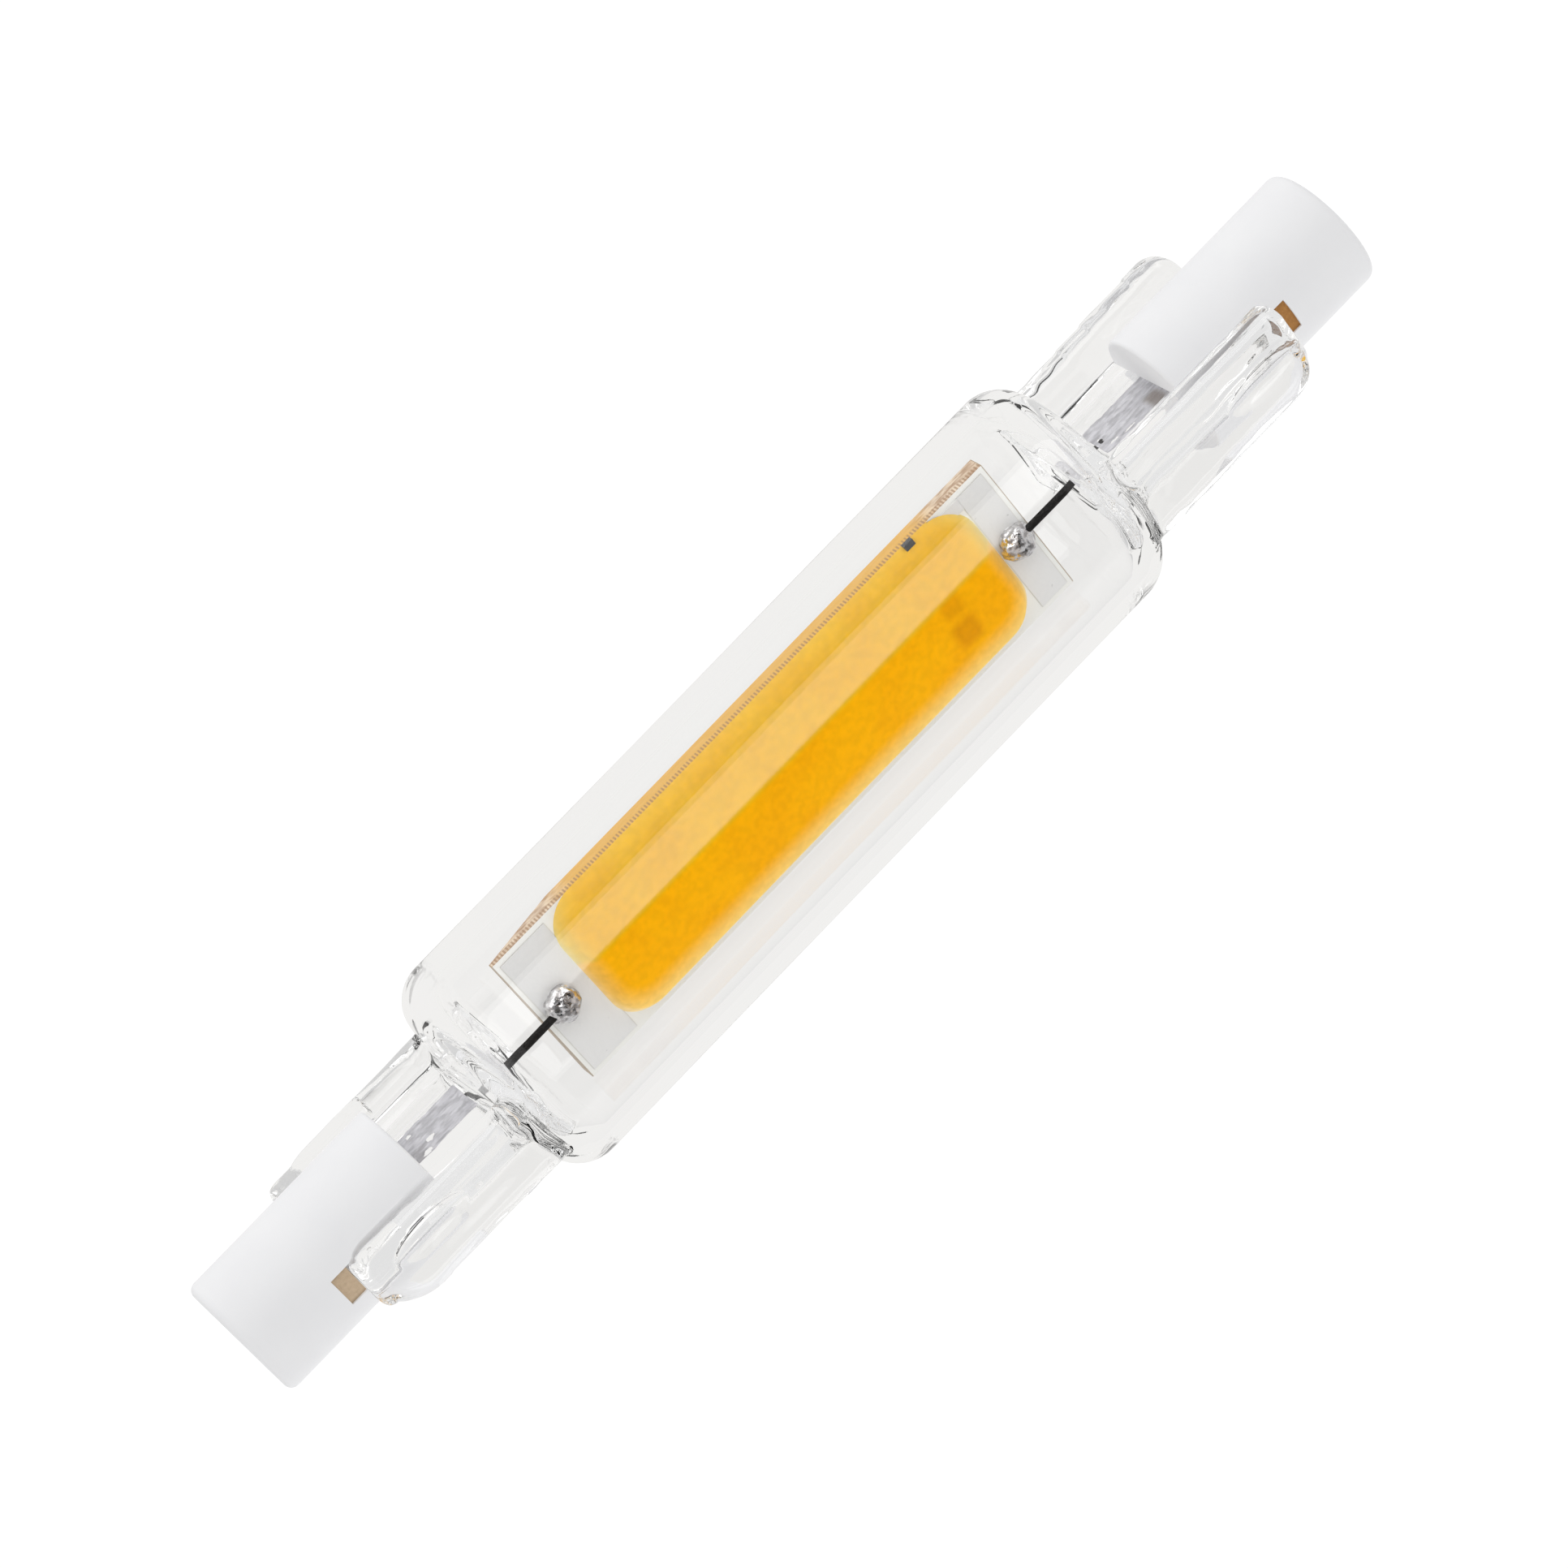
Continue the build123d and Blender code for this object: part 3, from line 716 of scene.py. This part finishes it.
def lean(place):
    """Moves a place near an end of the tube along it: the ends are cut neither square nor alike."""
    x, y, z = place
    side = 1 if x > 0 else -1
    share = smooth_share((abs(x) - LEAN_FROM) / LEAN_REACH)
    share *= 1 - smooth_share((abs(x) - LEAN_UNTIL) / LEAN_FADE)
    roll = CAMERA_ROLL_ROUND_BULB
    across = (z * math.sin(roll) - y * math.cos(roll)) / TUBE_RADIUS
    return (x + side * share * (END_SHIFT[side] + END_TILT[side] * across), y, z)


def loft(bm, rings):
    """A closed skin through rings of points, made by extruding one ring on to the next."""
    verts = bmesh.ops.create_circle(bm, cap_ends=False, segments=len(rings[0]), radius=1.0)["verts"]
    for vert, place in zip(verts, rings[0]):
        vert.co = place
    first = list(verts)
    for ring in rings[1:]:
        edges = [bm.edges.get((verts[index], verts[index - 1])) for index in range(len(verts))]
        made = bmesh.ops.extrude_edge_only(bm, edges=edges)["geom"]
        copies = {item for item in made if isinstance(item, bmesh.types.BMVert)}
        linked = [[edge.other_vert(vert) for edge in vert.link_edges] for vert in verts]
        verts = [next(other for other in others if other in copies) for others in linked]
        for vert, place in zip(verts, ring):
            vert.co = place
    bmesh.ops.contextual_create(bm, geom=first)
    bmesh.ops.contextual_create(bm, geom=verts)


def pinch_rings(side):
    """From the round edge of the tube out to the end of the pinch."""
    tube = whole(round_quarter(TUBE_RADIUS, TUBE_RADIUS))
    rings, reached = shoulder(side, TUBE_END - SHOULDER_RADIUS, tube, pinch_outline(side, TUBE_END),
                              SHOULDER_RADIUS, SHOULDER_FOOT)
    corner = RAIL_BACK_CORNER[side]
    corner_start = PINCH_END - corner
    for step in range(1, PINCH_STATIONS):
        x = reached + (corner_start - reached) * step / PINCH_STATIONS
        rings.append(ring_at(side * x, pinch_outline(side, x)))
    for step in range(CORNER_STATIONS + 1):
        x = PINCH_END - corner * (1 - math.sin(math.pi / 2 * step / CORNER_STATIONS))
        rings.append(ring_at(side * x, pinch_outline(side, x)))
    return [uneven(side, ring) for ring in rings]


def throat_rings(side):
    """From the round edge of the cavity in to the slit where its walls meet."""
    cavity = whole(round_quarter(CAVITY_RADIUS, CAVITY_RADIUS))
    mouth = whole(round_quarter(THROAT_HALF, THROAT_HALF_WIDTH))
    slit = whole(round_quarter(SLIT_HALF, SLIT_HALF_WIDTH))
    rings, reached = shoulder(side, CAVITY_END - CAVITY_ROUND, cavity, mouth, CAVITY_ROUND, THROAT_FOOT)
    for step in range(1, THROAT_STATIONS + 1):
        share = step / THROAT_STATIONS
        x = reached + (THROAT_END - reached) * share
        outline = [(a[0] + (b[0] - a[0]) * share ** 0.7, a[1] + (b[1] - a[1]) * smooth_share(share))
                   for a, b in zip(mouth, slit)]
        rings.append(ring_at(side * x, outline))
    return [uneven(side, ring, inside=True) for ring in rings]


def tube_rings(radius, reach):
    """The straight middle of the tube."""
    circle = whole(round_quarter(radius, radius))
    places = [reach * (2 * step / TUBE_STATIONS - 1) for step in range(1, TUBE_STATIONS)]
    return [uneven(1, ring_at(x, circle)) for x in places]


def face_out(bm, way):
    """Turns a closed skin's faces outwards, or inwards where it bounds a space."""
    bmesh.ops.recalc_face_normals(bm, faces=bm.faces)
    if bm.calc_volume(signed=True) * way < 0:
        bmesh.ops.reverse_faces(bm, faces=bm.faces)


def glass_piece():
    """The glass as one closed skin outside and one inside, round the space in the tube."""
    bm = bmesh.new()
    middle = tube_rings(TUBE_RADIUS, TUBE_END - SHOULDER_RADIUS)
    loft(bm, pinch_rings(-1)[::-1] + middle + pinch_rings(1))
    face_out(bm, 1)
    cavity = bmesh.new()
    middle = tube_rings(CAVITY_RADIUS, CAVITY_END - CAVITY_ROUND)
    loft(cavity, throat_rings(-1)[::-1] + middle + throat_rings(1))
    face_out(cavity, -1)
    spare = bpy.data.meshes.new("cavity")
    cavity.to_mesh(spare)
    cavity.free()
    bm.from_mesh(spare)
    bpy.data.meshes.remove(spare)
    return finish(bm, "glass_body", clear_glass(), "glass_envelope")


def finish(bm, name, material, node, smooth=True):
    """Brings a piece to metres and puts it in the scene in place of its node."""
    bmesh.ops.scale(bm, vec=(MM, MM, MM), verts=bm.verts)
    mesh = bpy.data.meshes.new(name)
    bm.to_mesh(mesh)
    bm.free()
    mesh.polygons.foreach_set("use_smooth", [smooth] * len(mesh.polygons))
    piece = bpy.data.objects.new(name, mesh)
    bpy.context.scene.collection.objects.link(piece)
    mesh.materials.append(material)
    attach(piece, "root")
    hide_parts(node)
    return piece


# Board, pads, solder and foils

def block(bm, low, high):
    """Adds a block between two corners."""
    verts = bmesh.ops.create_cube(bm, size=1.0)["verts"]
    bmesh.ops.scale(bm, vec=[b - a for a, b in zip(low, high)], verts=verts)
    bmesh.ops.translate(bm, vec=[(a + b) / 2 for a, b in zip(low, high)], verts=verts)


def board():
    """The ceramic plate with softened edges, chipped away from below at its far left corner."""
    low = (-BOARD_HALF_LENGTH, BOARD_BACK, BOARD_TOP - BOARD_THICKNESS)
    high = (BOARD_HALF_LENGTH, BOARD_FRONT, BOARD_TOP)
    bm = bmesh.new()
    block(bm, low, high)
    bmesh.ops.bevel(bm, geom=bm.edges[:], offset=BOARD_EDGE_ROUND, segments=2, profile=0.5,
                    affect="EDGES", material=-1)
    bmesh.ops.bisect_plane(bm, geom=bm.verts[:] + bm.edges[:] + bm.faces[:],
                           plane_co=(CHIPPED_FROM, 0.0, 0.0), plane_no=(1.0, 0.0, 0.0))
    for vert in bm.verts:
        at_end = vert.co.x < low[0] + CORNER_REACH
        if at_end and vert.co.y > high[1] - CORNER_REACH and vert.co.z < low[2] + CORNER_REACH:
            vert.co.z += CHIP_HEIGHT
    finish(bm, "board", board_ceramic(), "ceramic_board", smooth=False)


def strip():
    """The phosphor strip as packed, but laid against the board's front edge."""
    low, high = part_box("phosphor_strip")
    bm = bmesh.new()
    bm.from_mesh(frame["nodes"]["phosphor_strip"].data)
    bmesh.ops.scale(bm, vec=(1 / MM, 1 / MM, 1 / MM), verts=bm.verts)
    for vert in bm.verts:
        share = (vert.co.y * MM - low[1]) / (high[1] - low[1])
        vert.co.y = STRIP_BACK + (STRIP_FRONT - STRIP_BACK) * share
    finish(bm, "phosphor", phosphor_silicone(), "phosphor_strip")


def pad(side):
    """The printed pad at one end; the right one carries on in a track to the resistor."""
    label = "left" if side < 0 else "right"
    outer = BOARD_HALF_LENGTH - PAD_SETBACK
    ends = sorted((side * outer, side * (outer - PAD_LENGTH[side])))
    low = (ends[0], BOARD_BACK + PAD_SETBACK, BOARD_TOP)
    high = (ends[1], BOARD_FRONT - PAD_SETBACK, BOARD_TOP + PAD_THICKNESS)
    bm = bmesh.new()
    block(bm, low, high)
    if side > 0:
        joint = low[0] + TRACK_OVERLAP
        block(bm, (joint - TRACK_LENGTH, high[1] - TRACK_WIDTH, low[2]), (joint, high[1], high[2]))
    finish(bm, f"pad_{label}", pad_metal(), f"solder_pad_{label}", smooth=False)


def inner_lead(side):
    """The wire from the solder to the foil, hammered flat where it is welded on."""
    label = "left" if side < 0 else "right"
    low, high = [Vector(corner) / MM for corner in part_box(f"inner_lead_{label}")]
    inner = min(abs(low.x), abs(high.x))
    outer = max(abs(low.x), abs(high.x))
    angles = [2 * math.pi * turn / LEAD_SIDES for turn in range(LEAD_SIDES)]
    rings = []
    for step in range(LEAD_STATIONS + 1):
        share = step / LEAD_STATIONS
        x = inner + (outer - inner) * share
        flat = smooth_share((x - WELD_START) / WELD_TAPER)
        half_y = LEAD_RADIUS + (WELD_HALF_THICKNESS - LEAD_RADIUS) * flat
        half_z = LEAD_RADIUS + (WELD_HALF - LEAD_RADIUS) * flat
        bow = LEAD_BOW * math.sin(math.pi * share)
        outline = [(half_y * math.cos(angle), bow + half_z * math.sin(angle)) for angle in angles]
        rings.append(ring_at(side * x, outline))
    bm = bmesh.new()
    loft(bm, rings)
    face_out(bm, 1)
    finish(bm, f"lead_{label}", lead_wire(), f"inner_lead_{label}")


def solder_blob(side):
    """A lump of solder, drawn up round the lead and wrinkled where it froze."""
    label = "left" if side < 0 else "right"
    low, high = [Vector(corner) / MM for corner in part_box(f"solder_joint_{label}")]
    centre = (low + high) / 2
    shift_x, shift_y = SOLDER_SHIFT[side]
    heart = Vector((centre.x + shift_x, centre.y + shift_y, low.z + SOLDER_RISE))
    bm = bmesh.new()
    bmesh.ops.create_icosphere(bm, subdivisions=5, radius=1.0)
    for vert in bm.verts:
        way = vert.co.normalized()
        seed = way + Vector((9.0 * side, 0.0, 3.0))
        reach = 1.0 + sum(height * noise.noise(seed * pitch) for height, pitch in SOLDER_LUMPS)
        place = Vector([part * radius for part, radius in zip(way, SOLDER_RADII)]) * reach + heart
        place.z = max(place.z, low.z + SOLDER_FOOT)
        vert.co = place
    finish(bm, f"solder_{label}", solder_metal(), f"solder_joint_{label}")


def in_hole(side, place):
    """Whether a place on the foil lies in one of its holes, whose edges wander."""
    reach = 1 + HOLE_WOBBLE * noise.noise(place * 6.0)
    return any(math.hypot((place.x - x) / half_x, (place.z - z) / half_z) < reach
               for (x, z), half_x, half_z in FOIL_HOLES[side])


def foil_strip(side):
    """A thin rolled strip with ragged edges, a little wavy, and eaten through near the cap."""
    label = "left" if side < 0 else "right"
    low, high = [Vector(corner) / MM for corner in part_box(f"foil_{label}")]
    centre = (low + high) / 2
    length = high.x - low.x
    bm = bmesh.new()
    bmesh.ops.create_grid(bm, x_segments=FOIL_CELLS[0], y_segments=FOIL_CELLS[1], size=0.5)
    for vert in bm.verts:
        across = vert.co.y * 2
        x = centre.x + vert.co.x * length
        edge = FOIL_HALF_WIDTH + FOIL_RAGGED[0] * noise.noise(Vector((x * 0.8, 4.0 * side, 0.0)))
        edge += FOIL_RAGGED[1] * noise.noise(Vector((x * 3.1, across, 2.0 * side)))
        from_end = min(abs(x - low.x), abs(high.x - x))
        edge *= 1 - FOIL_END_TAPER * (1 - smooth_share(from_end / FOIL_TAPER_LENGTH))
        z = across * edge
        ripple = FOIL_RIPPLE[0] * noise.noise(Vector((x * 0.7, z * 0.6, side)))
        ripple += FOIL_RIPPLE[1] * noise.noise(Vector((x * 2.0, z * 5.0, side)))
        vert.co = (x, centre.y + FOIL_OFFSET + ripple, z)
    gone = [face for face in bm.faces if in_hole(side, face.calc_center_median())]
    bmesh.ops.delete(bm, geom=gone, context="FACES")
    bmesh.ops.solidify(bm, geom=bm.faces[:], thickness=FOIL_THICKNESS)
    bmesh.ops.recalc_face_normals(bm, faces=bm.faces)
    finish(bm, f"foil_strip_{label}", foil_metal(side), f"foil_{label}")


# Light, floor and camera

def area_lamp(name, degrees, distance, width, length, radiance, glossy):
    """A soft lamp at an angle from straight up towards +Y, turned to face the bulb."""
    angle = math.radians(degrees)
    data = bpy.data.lights.new(name, "AREA")
    data.shape = "RECTANGLE"
    data.size = length
    data.size_y = width
    data.energy = radiance * math.pi * length * width
    lamp = bpy.data.objects.new(name, data)
    bpy.context.scene.collection.objects.link(lamp)
    lamp.location = (0.0, distance * math.sin(angle), distance * math.cos(angle))
    lamp.rotation_euler = (-angle, 0.0, 0.0)
    lamp.visible_glossy = glossy
    lamp.visible_transmission = glossy
    lamp.visible_camera = False


def seen_by_eye(graph):
    """1 for rays that show the surroundings: straight, in a reflection or through glass."""
    path = graph.add("ShaderNodeLightPath")
    seen = graph.math("MAXIMUM", path.outputs["Is Camera Ray"], path.outputs["Is Glossy Ray"])
    return graph.math("MAXIMUM", seen, path.outputs["Is Transmission Ray"])


def floor():
    """A white floor that keeps the bulb's faint shadow."""
    bm = bmesh.new()
    bmesh.ops.create_grid(bm, x_segments=1, y_segments=1, size=1.5)
    bmesh.ops.translate(bm, verts=bm.verts, vec=(0.0, 0.0, CAD_BOUNDS[0][2]))
    mesh = bpy.data.meshes.new("floor")
    bm.to_mesh(mesh)
    bm.free()
    plane = bpy.data.objects.new("floor", mesh)
    bpy.context.scene.collection.objects.link(plane)
    material = bpy.data.materials.new("floor_white")
    material.use_nodes = True
    material.node_tree.nodes.clear()
    graph = Graph(material.node_tree)
    path = graph.add("ShaderNodeLightPath")
    through = graph.math("SUBTRACT", 1.0, path.outputs["Is Camera Ray"])
    tint = graph.blend(through, WHITE, colour(1.0, 0.992, 0.975))
    white = graph.add("ShaderNodeEmission", {"Color": tint, "Strength": FLOOR_GLOW})
    grey = graph.blend(through, colour(0.2, 0.2, 0.2), colour(0.03, 0.03, 0.03))
    shaded = graph.add("ShaderNodeBsdfDiffuse", {"Color": grey})
    seen = graph.add("ShaderNodeAddShader", {0: shaded.outputs[0], 1: white.outputs[0]})
    bounce = graph.add("ShaderNodeEmission", {"Color": WHITE, "Strength": 1.0})
    mix = graph.add("ShaderNodeMixShader", {0: seen_by_eye(graph)})
    graph.feed(mix.inputs[1], bounce.outputs[0])
    graph.feed(mix.inputs[2], seen.outputs[0])
    output = graph.add("ShaderNodeOutputMaterial")
    graph.feed(output.inputs["Surface"], mix.outputs[0])
    mesh.materials.append(material)


def world():
    """Even light for the surfaces, and a dark strip of ceiling over bright walls for what reflects."""
    sky = bpy.data.worlds.new("studio")
    bpy.context.scene.world = sky
    sky.use_nodes = True
    sky.node_tree.nodes.clear()
    graph = Graph(sky.node_tree)
    direction = graph.add("ShaderNodeTexCoord").outputs["Generated"]
    parts = graph.add("ShaderNodeSeparateXYZ", {0: direction})
    path = graph.add("ShaderNodeLightPath")
    overhead = graph.remap(parts.outputs["Z"], *CEILING_EDGE)
    sideways = graph.remap(graph.math("ABSOLUTE", parts.outputs["X"]), *CEILING_SIDES, 1.0, 0.0)
    dark = graph.math("MULTIPLY", overhead, sideways)
    first = graph.math("LESS_THAN", path.outputs["Glossy Depth"], 1.5)
    dark = graph.math("MULTIPLY", dark, first)
    level = graph.remap(parts.outputs["Y"], *WALL_CHANGE, NEAR_WALL, FAR_WALL)
    dimmer = graph.remap(path.outputs["Is Transmission Ray"], 0.0, 1.0, 1.0, THROUGH_GLASS)
    level = graph.math("MULTIPLY", level, dimmer)
    eye = graph.math("MULTIPLY", graph.math("SUBTRACT", 1.0, dark), level)
    eye = graph.math("MAXIMUM", eye, path.outputs["Is Camera Ray"])
    even = graph.remap(parts.outputs["Z"], 0.0, 0.9, 1.0, 0.45)
    strength = graph.math("MULTIPLY", path.outputs["Is Diffuse Ray"], even)
    strength = graph.math("ADD", strength, graph.math("MULTIPLY", seen_by_eye(graph), eye))
    background = graph.add("ShaderNodeBackground", {"Strength": strength})
    output = graph.add("ShaderNodeOutputWorld")
    graph.feed(output.inputs["Surface"], background.outputs[0])


def camera():
    """Looks at the bulb as the photograph does, with the bulb's length slanting across the frame."""
    tilt = CAMERA_LEAN
    roll = CAMERA_ROLL_ROUND_BULB
    towards = Vector((-math.sin(tilt), math.cos(tilt) * math.sin(roll), math.cos(tilt) * math.cos(roll)))
    along = Vector((1.0, 0.0, 0.0))
    along = (along - towards * along.dot(towards)).normalized()
    across = along.cross(towards)
    cosine = math.cos(BULB_ANGLE_IN_FRAME)
    sine = math.sin(BULB_ANGLE_IN_FRAME)
    right = cosine * along + sine * across
    up = sine * along - cosine * across
    shift = [offset * CAMERA_DISTANCE / FOCAL_PIXELS for offset in BULB_CENTRE_OFFSET]
    data = bpy.data.cameras.new("camera")
    data.sensor_width = SENSOR_WIDTH
    data.lens = SENSOR_WIDTH * FOCAL_PIXELS / PHOTO_WIDTH
    data.clip_start = 0.01
    eye = bpy.data.objects.new("camera", data)
    bpy.context.scene.collection.objects.link(eye)
    place = towards * CAMERA_DISTANCE - right * shift[0] - up * shift[1]
    turn = Matrix((right, up, towards)).transposed().to_4x4()
    eye.matrix_world = Matrix.Translation(place) @ turn
    bpy.context.scene.camera = eye


camera()
world()
floor()
area_lamp("softbox_far", 64.0, distance=0.7, width=0.45, length=1.6, radiance=1.4, glossy=True)
area_lamp("softbox_near", -64.0, distance=0.7, width=0.45, length=1.6, radiance=1.0, glossy=False)
area_lamp("fill_near", -38.0, distance=0.9, width=0.7, length=0.9, radiance=1.1, glossy=False)
area_lamp("overhead", 0.0, distance=0.9, width=0.7, length=0.9, radiance=0.35, glossy=False)
bpy.context.scene.view_settings.view_transform = "Standard"
bpy.context.scene.cycles.max_bounces = 20
bpy.context.scene.cycles.glossy_bounces = 14
bpy.context.scene.cycles.transmission_bounces = 20

glass = glass_piece()
glass.visible_shadow = False
glass.visible_diffuse = False

for name, side in (("left", -1), ("right", 1)):
    dress(f"ceramic_cap_{name}", cap_ceramic())
    dress(f"cement_{name}", cement_material(side))
    dress(f"contact_button_{name}", contact_metal())
    dress(f"outer_lead_{name}", lead_wire())
    inner_lead(side)
    foil_strip(side)
    solder_blob(side)
    pad(side)
board()
strip()
dress("led_chips", led_chip_material())
for chip in ("driver_chip", "rectifier_chip", "chip_resistor"):
    dress(chip, chip_silicon())
